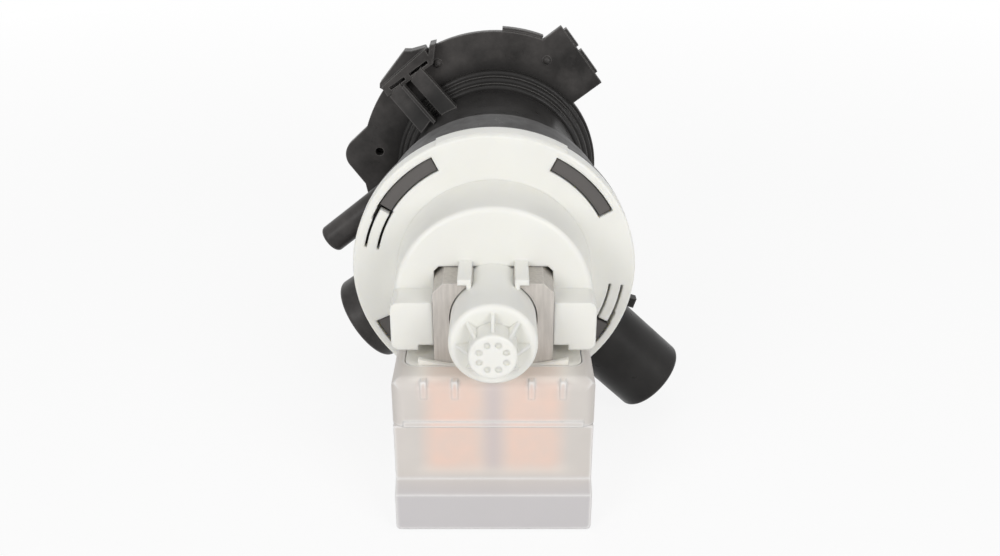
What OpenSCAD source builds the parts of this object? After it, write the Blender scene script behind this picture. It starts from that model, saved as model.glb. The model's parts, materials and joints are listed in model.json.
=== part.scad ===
// Washer drain pump: synchronous motor on a bayonet bracket, pump and filter housing, screw-in filter.
// Bench frame: Z is the rotor axis and points to the motor end, Y is up, and Z = 0 is the front face
// of the mounting plate. upright() turns the bench frame so that +Z is up and the filter faces +Y.

/* [Pump housing] */
// Radius of the filter chamber
chamber_r = 31.6; // [30:0.1:34]
// Wall of the housing
housing_wall = 2.7; // [2:0.1:3.5]
// Length of the filter chamber from the plate's front face to the eye wall
chamber_len = 73; // [71:0.5:90]
// Thickness of the wall with the impeller's eye
eye_t = 3; // [2:0.5:5]
// Radius of the impeller's eye
eye_r = 12; // [8:0.5:16]
// Radius of the pump chamber
pump_r = 33; // [28:0.5:34]
// Length of the pump chamber
pump_len = 20; // [19:0.5:26]
// Outer radius of the volute
volute_r = 41; // [38:0.5:41.5]
// Length of the cone between the filter chamber and the volute
volute_cone = 6; // [3:0.5:10]

/* [Mounting plate] */
// Radius of the mounting plate's arc
plate_r = 55.2; // [53:0.2:58]
// Thickness of the mounting plate
plate_t = 3; // [2:0.1:5]
// Radius of the plate below the ears
plate_base_r = 41.3; // [40.4:0.1:46]
// Depth of the plate's turned-over edge
edge_d = 1.2; // [0.8:0.1:2]
// Wall of the plate's turned-over edge
edge_wall = 2.2; // [1.5:0.1:4]
// Angle of the square ear
ear_angle = 37; // [30:1:42]
// Distance of the square ear's outer edge from the axis
ear_reach = 55.2; // [52:0.2:60]
// Length of the square ear's outer edge
ear_len = 28; // [24:0.5:32]
// Start of the square ear along its edge
ear_start = 2; // [0:0.5:4]
// Starts and ends of the bumps along the square ear's edge
ear_bumps = [[4, 15], [17.2, 25.5]];
// Height of the bumps on the plate's edge
bump_h = 1; // [0.6:0.1:1.6]
// Depth of the bumps on the plate's edge
bump_d = 3.5; // [2:0.1:5]
// Start angle of the bump on the plate's arc
bump_start = 70; // [66:1:74]
// Angle that the bump on the plate's arc spans
bump_span = 17; // [12:1:22]
// Radius of the round ear
lobe_r = 7.3; // [6:0.1:8.5]
// Angle of the round ear
lobe_angle = 175.4; // [173:0.1:178]
// Distance of the round ear's centre from the axis
lobe_reach = 55; // [53:0.1:57]
// Length of the round ear's flanks
lobe_flank = 14; // [12:0.5:15]
// Directions of the round ear's flanks
lobe_flank_angles = [42.8, -53.4];
// Angle of the fixing hole in the round ear
fixing_angle = 173; // [170:0.5:176]
// Distance of the fixing hole and the pips from the axis
fixing_r = 48.4; // [47:0.1:50]
// Radius of the fixing hole in the round ear
fixing_hole_r = 1.7; // [1.2:0.1:2.5]
// Depth of the screw hole in the round ear
fixing_depth = 6; // [4:0.5:6.5]
// Radius of the boss in front of the round ear
boss_r = 3.6; // [3:0.1:5]
// Height of the boss in front of the round ear
boss_h = 4.5; // [4.2:0.1:6]
// Radius of the round pips on the plate
pip_r = 1.7; // [1.2:0.1:2.5]
// Angles of the two pips
pip_angles = [64.8, 118.3];
// Outer radius of the collar that passes through the panel
collar_r = 38; // [36.5:0.1:40]
// Length of the collar in front of the plate
collar_len = 14; // [12:0.5:20]

/* [Ribs round the neck] */
// Radii of the stepped ribs from the plate to the filter tube
rib_radii = [40.2, 38.2, 36.2];
// Height of one rib along the axis
rib_h = 3.8; // [3:0.1:4.5]
// Radius of a rib's rounded edge
rib_round = 1.1; // [0.5:0.1:1.4]

/* [Cable clip] */
// Angle of the clip's inner wall
clip_angle = 125.4; // [123:0.1:128]
// Outline of the clip's block, seen from the motor end and counted from the plate's edge
clip_block = [[-5.4, 17.3], [-1, 17], [1.1, -6.2], [-5.4, -5.4]];
// Outline of the lower band outside the block, counted from the plate's edge
clip_band = [[-4.2, 17], [-1.2, 18.4], [0.2, 17.3], [4.8, 1.5], [3.2, -0.7], [1.2, -6.2], [-3.2, -5]];
// Outline of the wall at the clip's end, counted from the plate's edge
clip_end = [[-5.4, -5.4], [-3.9, -3.9], [1.2, -8.6], [0.3, -10.9]];
// Starts and ends of the slots behind the inner wall
clip_slots = [[-4, 4.9], [7.3, 14.5]];
// Distance of the slots from the plate's edge
clip_slot_set = 4.1; // [3.2:0.1:4.4]
// Width of the slots
clip_slot_w = 1.2; // [0.8:0.1:1.8]
// Height of the clip's block over the plate
clip_h = 6; // [5:0.1:8]
// Height of the lower band over the plate
clip_band_h = 3; // [1.5:0.1:4]
// Angle of the clip's fingers
finger_angle = 143; // [140:0.5:146]
// Starts of the two fingers and the rib between them, along the clip
finger_starts = [-6.1, -16.1, -7.4];
// Widths of the two fingers and the rib
finger_widths = [6.6, 6.6, 1.3];
// Distances of the finger roots from the plate's edge
finger_sets = [3.2, 6.2, 4.7];
// Distances of the finger tips from the axis
finger_tips = [35.3, 30.3, 34];
// Heights of the finger roots over the plate
finger_tops = [7.5, 6.5, 10.8];
// Thickness of a finger
finger_t = 3.6; // [2.4:0.1:4.5]

/* [Hose stubs] */
// Outer radius of the outlet stub
outlet_r = 13.4; // [12.6:0.05:14.5]
// Bore radius of the outlet stub
outlet_bore_r = 9.8; // [8:0.1:9.9]
// Bore radius of the outlet stub at its mouth
outlet_mouth_r = 11.2; // [10.2:0.1:11.4]
// Angle of the outlet stub
outlet_angle = -43.6; // [-48:0.1:-38]
// Distance of the outlet's end from the axis
outlet_reach = 77.6; // [68:0.2:84]
// Offset of the outlet stub from the axis
outlet_offset = 0.6; // [-2:0.1:3]
// Outer radius of the inlet stub
inlet_r = 16.8; // [15.8:0.05:17.6]
// Bore radius of the inlet stub
inlet_bore_r = 14.2; // [12:0.1:14.8]
// Angle of the inlet stub
inlet_angle = 215.7; // [210:0.1:220]
// Distance of the inlet's end from the axis
inlet_reach = 67; // [60:0.2:74]
// Offset of the inlet stub from the axis
inlet_offset = 7.9; // [4:0.1:12]
// Distance of the inlet stub behind the plate's front face
inlet_z = 55; // [50:0.5:56]
// Outer radius of the drain nozzle
nozzle_r = 5.5; // [5:0.1:5.8]
// Bore radius of the drain nozzle
nozzle_bore_r = 3.2; // [2.6:0.1:3.4]
// Angle of the drain nozzle
nozzle_angle = 218.5; // [214:0.5:222]
// Distance of the drain nozzle's tip from the axis
nozzle_reach = 62; // [56:0.2:70]
// Offset of the drain nozzle from the axis
nozzle_offset = -25.6; // [-26.4:0.1:-22]
// Distance of the drain nozzle behind the plate's front face
nozzle_z = 40; // [34:0.5:44]
// Rounding at the stubs' ends
stub_round = 1.6; // [0.6:0.1:1.8]
// Plain length of each stub that a hose sits on
hose_len = 18; // [12:0.5:22]
// Draft of the stubs' roots
stub_draft = 0.3; // [0.1:0.05:0.6]
// Length of the straight seat for a hose on a stub
hose_seat = 18; // [12:0.5:22]

/* [Bayonet flange] */
// Outer radius of the bracket's spigot
spigot_r = 35.2; // [34:0.1:36]
// Wall of the spigot
spigot_wall = 4.2; // [3.8:0.1:5]
// Length of the spigot
spigot_len = 11.7; // [10:0.1:14]
// Gap between the spigot and the housing
spigot_gap = 0.3; // [0.2:0.05:0.5]
// Wall between the spigot's bore and the bayonet tongues
tongue_set = 2.4; // [1.5:0.1:3]
// Radial width of a bayonet tongue
tongue_w = 4.1; // [3.6:0.1:5]
// Gap between a tongue and its window
window_gap = 0.4; // [0.2:0.05:0.6]
// Width of the flange's rim outside the windows
rim_w = 2.6; // [2:0.1:4]
// Thickness of the flange's rim
flange_t = 6.8; // [6:0.1:9]
// Thickness of the flange's web
web_t = 3; // [2:0.1:4]
// Rounding of the rim's front edge
rim_round = 0.8; // [0.4:0.1:1.2]
// Start angles of the bayonet windows
window_starts = [29, 116.5, 204.7, 299];
// Angles that the bayonet windows span
window_spans = [34, 31.5, 34, 34];
// Windows that a latch finger follows
latch_windows = [1, 3];
// Angle between a window and the tip of its latch finger
latch_set = 1.2; // [0.6:0.1:2]
// Angle that a latch finger spans
latch_span = 21.5; // [18:0.5:24]
// Width of a latch finger
latch_w = 3.1; // [2.5:0.1:3.4]
// Width of the slits beside a latch finger
slit_w = 0.8; // [0.6:0.1:1]
// Angle of the wide part of the outer slit
slit_wide = 8; // [5:0.5:12]
// Recess of the tongues below the flange's face
tongue_recess = 0.8; // [0.4:0.1:1.5]
// Width of the housing's shoulder under the rim
seat_h = 3; // [2:0.1:4]
// Start angle of the rim's raised part
proud_start = 60; // [50:1:70]
// Angle that the rim's raised part spans
proud_span = 53; // [40:1:60]
// Height of the rim's raised part
proud_h = 0.5; // [0.3:0.1:0.8]
// Angle of the stop lug beside the flange
lug_angle = -17.6; // [-24:0.1:-12]
// Distance of the stop lug's end from the axis
lug_reach = 48.9; // [47:0.1:52]
// Width of the stop lug
lug_w = 3.4; // [2.4:0.1:5]

/* [Hood] */
// Radius of the hood at its face
hood_r = 30; // [28.5:0.1:30.6]
// Widening of the hood towards the flange
hood_draft = 0.8; // [0:0.1:1.2]
// Depth of the hood
hood_d = 22; // [19:0.5:24]
// Rounding of the hood's front edge
hood_round = 1.6; // [0.8:0.1:2.4]
// Wall of the hood
hood_wall = 2.6; // [2:0.1:3.5]
// Depth of the shoulders beside the core
shoulder_d = 32; // [28:0.5:33]
// Height of the shoulders' upper ledge over the axis
shoulder_top = 4.4; // [3:0.1:6]
// Height of the shoulders' foot below the axis
shoulder_foot = 11; // [9:0.1:12]
// Height of the step at the shoulders' inner foot
shoulder_step = 1.7; // [1:0.1:3]
// Rounding of the shoulders' outer corners
shoulder_round = 2.4; // [1:0.1:3]
// Width of the shoulders' narrow foot
shoulder_foot_w = 7.7; // [6:0.1:9]
// Width of a core hook
hook_w = 4; // [3:0.1:4.4]
// Lip of a core hook over the core's front
hook_lip = 1.5; // [1:0.1:2.4]
// Width of the leg that a core hook drops over the core's front
hook_leg = 1.4; // [1:0.1:2.4]
// Thickness of a core hook over the core
hook_t = 1.8; // [1.2:0.1:2.4]

/* [Rotor can] */
// Outer radius of the rotor can
can_r = 12.4; // [12:0.1:12.8]
// Wall of the rotor can
can_wall = 1.6; // [1.2:0.1:1.8]
// Length of the can over the flange's face
can_len = 49.8; // [48:0.2:53]
// Radius of the hub on the can's end
hub_r = 6.7; // [6.6:0.1:7.4]
// Length of the hub over the can's rim
hub_len = 6.8; // [6:0.1:9]
// Width of the can's rim
can_rim_w = 1.9; // [1.6:0.1:2.6]
// Rounding of the can's rim
can_round = 1.4; // [0.6:0.1:1.5]
// Depth of the dish round the hub
pocket_d = 1; // [0.6:0.1:1.6]
// Thickness of the ribs round the hub
spoke_t = 1.1; // [0.8:0.1:1.6]
// Number of ribs round the hub
spoke_count = 8; // [6:1:10]
// Radius of the ring of blind holes in the hub
hub_hole_ring = 3.95; // [3.5:0.05:4.4]
// Radius of a blind hole in the hub
hub_hole_r = 0.85; // [0.5:0.05:1]
// Depth of the blind holes in the hub
hub_hole_d = 0.7; // [0.5:0.1:1.4]

/* [Stator core] */
// Width of the core
core_w = 34.8; // [33:0.2:35.2]
// Height of the core over the axis
core_top = 11.3; // [10:0.1:12]
// Thickness of the stack
core_t = 20; // [18:0.2:22]
// Distance of the stack from the flange's face
core_set = 13.7; // [12:0.1:15]
// Gap between the can and the core's bore
core_gap = 0.35; // [0.3:0.05:1]
// Width of a leg
leg_w = 9; // [8:0.1:9.5]
// Height of the yoke
yoke_h = 11.8; // [9:0.1:14]
// Chamfer on the core's upper corners
core_chamfer = 3; // [2:0.1:4]
// Radius of the core's rivets
rivet_r = 1.5; // [1:0.1:2]

/* [Coils] */
// Wall of the coil former
former_wall = 1; // [0.8:0.1:1.4]
// Gap between the former and the core
former_gap = 0.2; // [0.1:0.05:0.3]
// Thickness of the former's top plate
former_top_t = 1.8; // [1.4:0.1:2.4]
// Room in the cover's mouth in front of the core
mouth_room = 2; // [1.6:0.1:3]
// Half width of the former's rib in front of the core
cradle_half = 22; // [20:0.5:24]
// Radius of the former's rib under the can
cradle_r = 75; // [60:1:90]
// Depth of the rib's curve below the top of the case
cradle_sink = 1.1; // [0.6:0.1:1.6]
// Thickness of the former's foot plate
former_foot_t = 1.5; // [1.2:0.1:2]
// Length of a winding
winding_len = 31.5; // [29:0.5:36]
// Thickness of a winding in front of and behind the core
winding_t = 6.2; // [5:0.1:7]
// Thickness of a winding beside the core
winding_side = 4.2; // [3.6:0.1:4.6]
// Radius of the outer layer's wire
wire_r = 0.8; // [0.6:0.05:0.8]
// Gap between two turns of the outer layer
wire_gap = 0.48; // [0.44:0.01:0.7]
// Gap between the outer layer and the former's plates
wire_end_gap = 0.35; // [0.2:0.05:0.6]
// Width of the posts where the wire ends
post_w = 1.5; // [1:0.1:2]
// Gap under the outer layer
layer_gap = 0.05; // [0.02:0.01:0.1]

/* [Coil case] */
// Wall of the coil case
case_wall = 2; // [1.6:0.1:2.4]
// Gap between a winding and the case's front or back
coil_gap = 1.4; // [1:0.1:2]
// Gap between a winding and the case's side
coil_side_gap = 4.7; // [4:0.1:6]
// Distance of the case's top below the rotor can
case_drop = 1.8; // [1.2:0.1:2.4]
// Height of the case's upper half
cover_h = 15.3; // [13:0.1:20]
// Thickness of the cover's top wall
cover_top_t = 0.8; // [0.6:0.1:0.9]
// How far the upper half stands out over the lower half
cover_over = 0.35; // [0.2:0.05:0.6]
// Rounding of the case's upper edges
cover_round = 3.4; // [2.5:0.1:4]
// Width of the case's rim round its mouth
cover_rim = 3.3; // [3:0.1:4]
// Height of the bead where the halves meet
bead_h = 1.8; // [1:0.1:2.5]
// How far the bead stands out
bead_over = 0.5; // [0.3:0.05:0.8]
// How far the foot of the case stands forward
foot_d = 4.5; // [3:0.1:6]
// Height of the foot of the case
foot_h = 12.4; // [10:0.1:16]
// Height of the slope over the foot
foot_slope = 2.8; // [2:0.1:4]
// Rounding of the case's lower corners
case_round = 1.5; // [1:0.1:2.5]
// Places of the ribs on the case's upper edge
case_rib_x = [11, 20];
// Width of a rib on the case
case_rib_w = 1.8; // [1:0.1:2.4]
// Length of a rib on the case's front
case_rib_len = 6; // [4:0.1:8]

/* [Terminals] */
// Width of a tab terminal
tab_w = 6.3; // [4.8:0.1:6.3]
// Thickness of a tab terminal
tab_t = 0.8; // [0.5:0.1:0.8]
// Length of a tab outside the case
tab_len = 8; // [6:0.5:9]
// Length of a tab inside the case
tab_root = 5; // [4:0.5:6]
// Distance between the two tabs
tab_pitch = 11; // [8:0.5:12]
// Wall of the terminal socket
socket_wall = 1.3; // [1:0.1:2]
// Room in the terminal socket round the tabs
socket_room = 1.6; // [1.2:0.1:2.4]
// Depth of the terminal socket
socket_d = 9.4; // [9.2:0.1:11]
// Radius of the thermal fuse
fuse_r = 1.5; // [1:0.1:1.6]
// Length of the thermal fuse
fuse_len = 10; // [8:0.5:14]

/* [Rotor] */
// Radius of the shaft
shaft_r = 2; // [1.5:0.05:2.2]
// Length of the magnet
magnet_len = 32; // [26:0.5:34]
// Gap between the magnet and the can
magnet_gap = 0.6; // [0.4:0.05:0.8]
// Running gap of the shaft in a bearing
bearing_gap = 0.05; // [0.02:0.01:0.08]
// Outer radius of a bearing
bearing_r = 4; // [3.6:0.1:4.2]
// Length of a bearing
bearing_len = 5; // [4:0.1:6]
// Wall of the rubber round the rear bearing
mount_wall = 1.2; // [0.8:0.1:1.4]
// Thickness of a thrust washer
washer_t = 0.6; // [0.4:0.05:0.8]
// Outer radius of a thrust washer
washer_r = 3.6; // [3.2:0.1:4]
// End play beside each thrust washer
end_play = 0.3; // [0.2:0.05:0.4]
// Outer radius of the bearing holder's disc
holder_r = 16; // [14:0.5:18]
// Thickness of the bearing holder's disc
holder_t = 3; // [2:0.1:3.4]
// Gap between the bearing holder and the can
holder_gap = 0.15; // [0.1:0.05:0.25]
// Thickness of the shaft seal
seal_t = 2.4; // [1.6:0.1:2.6]
// Outer radius of the shaft seal
seal_r = 6; // [5:0.1:7]

/* [Impeller] */
// Radius of the impeller over its blades
impeller_r = 20; // [17:0.5:24]
// Height of the blades
blade_h = 22; // [16:0.5:24]
// Thickness of a blade
blade_t = 2; // [1.4:0.1:3]
// Number of blades
blade_count = 6; // [4:1:8]
// Outer radius of the impeller's hub
wheel_hub_r = 10; // [9.2:0.1:11]
// Wall of the impeller's hub
wheel_wall = 1.8; // [1.4:0.1:2.2]
// Thickness of the impeller's floor and cap
wheel_floor = 1.6; // [1.2:0.1:2.4]
// Radius of the driving dog's sleeve
dog_r = 4; // [3.4:0.1:4.6]
// Height of the driving dog
dog_h = 6; // [4:0.1:7]
// Angle that a driving tooth spans
dog_angle = 56; // [40:1:70]
// Angle left between the teeth at rest
dog_rest = 3; // [2:0.5:6]
// Gap between the impeller and the dog
dog_gap = 0.3; // [0.2:0.05:0.5]
// Gap between the impeller and the bearing holder
wheel_gap = 1.2; // [0.8:0.1:2]

/* [Filter] */
// Gap between the filter plug and the collar
plug_gap = 0.3; // [0.2:0.05:0.5]
// Radial depth of the collar's seat over the chamber
collar_step = 1.7; // [1.4:0.1:2.2]
// Depth of the collar's seat behind the plate's front face
collar_seat = 6; // [5:0.5:8]
// Wall of the filter plug
plug_wall = 3.2; // [2.6:0.1:4]
// Thickness of the filter plug's inner end
plug_end_t = 2; // [1.6:0.1:3]
// Radius of the filter cap
cap_r = 37; // [35.5:0.1:40]
// Thickness of the filter cap
cap_t = 3; // [2:0.1:4]
// Length of the grip across the cap
grip_len = 52; // [40:1:60]
// Width of the grip
grip_w = 11; // [8:0.5:14]
// Height of the grip
grip_h = 14; // [10:0.5:18]
// Thickness of the cap's rubber gasket
gasket_t = 3; // [2:0.1:4]
// Radial depth of the gasket's groove
gasket_d = 1.6; // [1.2:0.1:2]
// Gap between the gasket and its groove
gasket_gap = 0.1; // [0.05:0.01:0.15]
// Outer radius of the filter basket
basket_r = 28; // [25:0.5:29]
// Length of the filter basket
basket_len = 54; // [40:0.5:56]
// Number of bars in the filter basket
bar_count = 10; // [8:1:14]
// Thickness of a basket bar
bar_t = 3; // [2:0.1:4]
// Height of a basket ring
basket_ring_h = 3.5; // [2.5:0.1:5]

/* [Seals] */
// Section radius of the O-ring between bracket and housing
oring_r = 1.5; // [1.2:0.05:1.6]
// Gap round the O-ring's section
oring_gap = 0.05; // [0.02:0.01:0.1]
// Room in the O-ring's groove along the axis
oring_room = 0.6; // [0.4:0.1:1]

/* [Hidden] */
$fn = 96;
cut = 0.5;
touch = 0.2;
housing_color = "#302e2d";
basket_color = "#cfcfc9";

body_r = chamber_r + housing_wall;
neck_top = plate_t + len(rib_radii) * rib_h;
plate_bore_r = (body_r + collar_r) / 2;
cone_z = chamber_len - volute_cone;
pump_floor = chamber_len + eye_t;
seal_floor = pump_floor + pump_len;
seal_bore_r = spigot_r + spigot_gap;
spigot_end = seal_floor + spigot_gap;
web_back = spigot_end + spigot_len;
flange_face = web_back + web_t;
rim_back = flange_face - flange_t;
tongue_r_in = seal_bore_r + tongue_set;
tongue_r_out = tongue_r_in + tongue_w;
window_r_in = tongue_r_in - window_gap;
window_r_out = tongue_r_out + window_gap;
flange_r = window_r_out + rim_w;
rim_r_in = tongue_r_out + spigot_gap;
groove_r = seal_bore_r - 2 * oring_r - 2 * oring_gap;
groove_w = 2 * oring_r + oring_room;
groove_z = spigot_end + (rim_back - spigot_end - groove_w) / 2;
tongue_top = flange_face - tongue_recess;
window_gap_angle = asin(window_gap / tongue_r_in);
window_sweeps = [for (i = [0 : len(window_spans) - 1])
    window_spans[i] + (len(search(i, latch_windows)) > 0 ? latch_set : 0)];
outlet_z = pump_floor + pump_len / 2;
collar_bore_r = chamber_r + collar_step;
plug_r = collar_bore_r - plug_gap;

hood_face = flange_face + hood_d;
shoulder_face = flange_face + shoulder_d;
core_back = flange_face + core_set;
core_front = core_back + core_t;
core_mid = core_back + core_t / 2;
core_r = can_r + core_gap;
core_half = core_w / 2;
leg_in = core_half - leg_w;
leg_x = core_half - leg_w / 2;
shoulder_in = core_half + touch;
can_rim_z = flange_face + can_len;
can_bore_r = can_r - can_wall;

case_top = -(can_r + case_drop);
winding_top = case_top - former_top_t;
winding_foot = winding_top - winding_len;
former_foot = winding_foot - former_foot_t;
yoke_top = former_foot - former_gap;
core_foot = yoke_top - yoke_h;
case_foot = core_foot - touch - case_wall;
case_split = case_top - cover_h;
former_x = leg_w / 2 + former_gap + former_wall;
former_z = core_t / 2 + former_gap + former_wall;
coil_x = former_x + winding_side;
coil_z = former_z + winding_t;
case_front = core_mid + coil_z + coil_gap + case_wall;
case_back = core_mid - coil_z - coil_gap - case_wall;
case_half = leg_x + coil_x + coil_side_gap + case_wall;
tray_half = case_half - cover_over;
tray_front = case_front - cover_over;
foot_front = tray_front + foot_d;
foot_top = case_foot + foot_h;
mouth_half = case_half - cover_rim;
mouth_front = core_front + mouth_room;
former_front = case_front - cover_rim - former_gap;
mouth_back = case_back + cover_rim;
wire_pitch = 2 * wire_r + wire_gap;
wire_turns = floor((winding_len - 2 * wire_r - 2 * wire_end_gap) / wire_pitch);
wire_top = winding_top - wire_end_gap - wire_r;
wire_foot = wire_top - wire_turns * wire_pitch;
layer_x = coil_x - 2 * wire_r - layer_gap;
layer_z = coil_z - 2 * wire_r - layer_gap;
layer_round = winding_side - 2 * wire_r - layer_gap;

cavity_end = can_rim_z - pocket_d - can_wall;
washer_room = washer_t + 2 * end_play;
magnet_r = can_bore_r - magnet_gap;
magnet_front = cavity_end - washer_room;
magnet_back = magnet_front - magnet_len;
holder_top = magnet_back - washer_room;
front_bearing_z = holder_top - bearing_len;
mount_r = bearing_r + mount_wall;
rear_end = cavity_end + bearing_len;
holder_back = web_back - holder_t;
wheel_back = holder_back - wheel_gap;
wheel_floor_z = wheel_back - wheel_floor;
dog_z = wheel_floor_z - dog_gap - dog_h;
wheel_cap_z = dog_z - dog_gap - wheel_floor;
wheel_cavity_r = wheel_hub_r - wheel_wall;

plug_in = collar_seat - plug_gap;
basket_bore_r = basket_r - bar_t;
basket_end = plug_in + basket_len;
gasket_z = plug_in - plug_end_t - gasket_t;
cap_back = -collar_len - plug_gap;
cap_front = cap_back - cap_t;
tab_y = core_foot + yoke_h / 2;
socket_x = tab_pitch / 2 + tab_w / 2 + socket_room;
socket_y = tab_t / 2 + 2 * socket_room;

// Turns the bench frame upright
module upright() {
    rotate([90, 0, 0])
        children();
}

// Solid cylinder between two heights on the axis
module disc(r, low, high) {
    translate([0, 0, low])
        cylinder(r = r, h = high - low);
}

// Hollow ring between two heights on the axis
module ring(r_out, r_in, low, high) {
    difference() {
        disc(r_out, low, high);
        disc(r_in, low - cut, high + cut);
    }
}

// Part of a ring between two angles and two heights
module sector(r_in, r_out, start, span, low, high) {
    rotate([0, 0, start])
        rotate_extrude(angle = span)
            translate([r_in, low])
                square([r_out - r_in, high - low]);
}

// Box between two corners
module box(low, high) {
    translate(low)
        cube(high - low);
}

// Box and its mirror image on the other side of the rotor axis
module twin_box(low, high) {
    for (side = [0, 1])
        mirror([side, 0, 0])
            box(low, high);
}

// Rectangle with round corners between two corners
module round_rect(low, high, r) {
    translate([low.x + r, low.y])
        square([high.x - low.x - 2 * r, high.y - low.y]);
    translate([low.x, low.y + r])
        square([high.x - low.x, high.y - low.y - 2 * r]);
    for (x = [low.x + r, high.x - r], y = [low.y + r, high.y - r])
        translate([x, y])
            circle(r = r);
}

// Extrudes a shape drawn in X and Z downwards from a height
module plan(top, h) {
    translate([0, top, 0])
        rotate([90, 0, 0])
            linear_extrude(h)
                children();
}

// Extrudes a shape drawn in Z and Y to both sides of the axis
module side_view(half) {
    translate([-half, 0, 0])
        rotate([90, 0, 90])
            linear_extrude(2 * half)
                rotate(90)
                    mirror([0, 1])
                        children();
}

// Round profile with one rounded upper edge, for turning
module edge_profile(r, low, high, round_r) {
    translate([0, low])
        square([r, high - low - round_r]);
    translate([0, low])
        square([r - round_r, high - low]);
    translate([r - round_r, high - round_r])
        circle(r = round_r);
}

// Places a child's Z axis along a direction square to the rotor axis
module radial(angle, offset, z) {
    rotate([0, 0, angle])
        translate([0, offset, z])
            rotate([0, 90, 0])
                children();
}

// Half plane on the ears' side of the mounting plate
module ear_side() {
    rotate(ear_angle)
        translate([-2 * plate_r, ear_start])
            square([4 * plate_r, 2 * plate_r]);
}

// Round ear with its two flanks
module lobe_outline() {
    rotate(lobe_angle)
        translate([lobe_reach, 0])
            rotate(-lobe_angle) {
                circle(r = lobe_r);
                rotate(lobe_flank_angles[0])
                    square([lobe_flank, lobe_r]);
                rotate(lobe_flank_angles[1])
                    translate([0, -lobe_r])
                        square([lobe_flank, lobe_r]);
            }
}

// Outline of the mounting plate with its ears
module plate_outline() {
    circle(r = plate_base_r);
    intersection() {
        circle(r = plate_r);
        ear_side();
    }
    rotate(ear_angle)
        translate([0, ear_start])
            square([ear_reach, ear_len]);
    lobe_outline();
}

// Mounting plate with its turned-over edge and bumps
module plate() {
    linear_extrude(plate_t)
        plate_outline();
    translate([0, 0, -edge_d])
        linear_extrude(edge_d + touch)
            intersection() {
                difference() {
                    circle(r = plate_r - touch);
                    circle(r = plate_r - edge_wall);
                }
                ear_side();
            }
    sector(plate_r - edge_wall + touch, plate_r + bump_h, bump_start, bump_span, -bump_d, touch);
    rotate([0, 0, ear_angle])
        for (bump = ear_bumps)
            box([ear_reach - edge_wall, ear_start + bump[0], -bump_d],
                [ear_reach + bump_h, ear_start + bump[1], touch]);
}

// Round pips on the mounting plate
module pips() {
    for (a = pip_angles)
        rotate([0, 0, a])
            translate([fixing_r, 0, plate_t])
                sphere(r = pip_r);
}

// Stepped ribs round the neck
module neck_ribs() {
    for (i = [0 : len(rib_radii) - 1])
        rotate_extrude()
            edge_profile(rib_radii[i], plate_t, plate_t + (i + 1) * rib_h, rib_round);
}

// Sloping finger of the cable clip, drawn in its side view
module clip_finger(i) {
    top = plate_t + finger_tops[i];
    root = plate_r - finger_sets[i];
    rise = root - finger_tips[i];
    rotate([0, 0, finger_angle])
        translate([0, finger_starts[i] + finger_widths[i], 0])
            rotate([90, 0, 0])
                linear_extrude(finger_widths[i])
                    polygon([[root, top - finger_t], [root, top],
                        [finger_tips[i], top + rise], [finger_tips[i], top + rise - finger_t]]);
}

// Cable clip on the plate, with fingers that slope down to the filter tube
module cable_clip() {
    top = plate_t + clip_h;
    rotate([0, 0, clip_angle])
        translate([plate_r, 0, 0]) {
            difference() {
                linear_extrude(top)
                    polygon(clip_block);
                for (slot = clip_slots)
                    box([-clip_slot_set, slot[0], plate_t],
                        [clip_slot_w - clip_slot_set, slot[1], top + cut]);
            }
            linear_extrude(plate_t + clip_band_h)
                polygon(clip_band);
            linear_extrude(top)
                polygon(clip_end);
        }
    for (i = [0 : len(finger_starts) - 1])
        clip_finger(i);
}

// Bayonet tongues that stand in the flange's windows
module tongues() {
    for (i = [0 : len(window_starts) - 1])
        sector(tongue_r_in, tongue_r_out, window_starts[i] + window_gap_angle,
            window_spans[i] - 2 * window_gap_angle, rim_back - touch, tongue_top);
}

// Hose stub with a plain end for the hose and a drafted root
module stub(r, reach) {
    root = reach - stub_round - hose_len;
    rotate_extrude() {
        edge_profile(r, root, reach, stub_round);
        polygon([[0, 0], [r + stub_draft, 0], [r, root], [0, root]]);
    }
}

// Places a child on the axis of the fixing hole
module fixing_place() {
    rotate([0, 0, fixing_angle])
        translate([fixing_r, 0, 0])
            children();
}

// Collar and stepped ribs before they are bored
module neck_outside() {
    disc(collar_r, -collar_len, 0);
    disc(plate_bore_r, -touch, plate_t + touch);
    neck_ribs();
}

// Cone and wall round the pump chamber before they are bored
module volute_outside() {
    translate([0, 0, cone_z])
        cylinder(r1 = body_r, r2 = volute_r, h = volute_cone);
    disc(volute_r, chamber_len, seal_floor);
}

// Ring round the seal's bore before it is bored
module rim_core() {
    disc(tongue_r_out - touch, seal_floor, web_back - spigot_gap);
}

// Space of the filter chamber and its collar
module filter_hollow() {
    disc(collar_bore_r, -collar_len - cut, collar_seat);
    disc(chamber_r, 0, chamber_len);
}

// Bores of the hose stubs
module stub_bores() {
    radial(outlet_angle, outlet_offset, outlet_z) {
        disc(outlet_bore_r, eye_r, outlet_reach + cut);
        disc(outlet_mouth_r, outlet_reach - hose_seat, outlet_reach + cut);
    }
    radial(inlet_angle, inlet_offset, inlet_z)
        disc(inlet_bore_r, eye_r, inlet_reach + cut);
    radial(nozzle_angle, nozzle_offset, nozzle_z)
        disc(nozzle_bore_r, eye_r, nozzle_reach + cut);
}

// Cuts a hose stub off at the housing's walls and bores it
module stub_on_wall() {
    difference() {
        children();
        disc(body_r, 0, cone_z);
        volute_outside();
        rim_core();
        stub_bores();
    }
}

// Mounting plate with its ears, pips and screw boss
module housing_plate() {
    color(housing_color)
        upright()
            difference() {
                union() {
                    plate();
                    pips();
                    fixing_place()
                        disc(boss_r, -boss_h, touch);
                }
                disc(plate_bore_r, -bump_d - cut, plate_t + cut);
                fixing_place()
                    disc(fixing_hole_r, plate_t - fixing_depth, plate_t + cut);
            }
}

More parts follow.
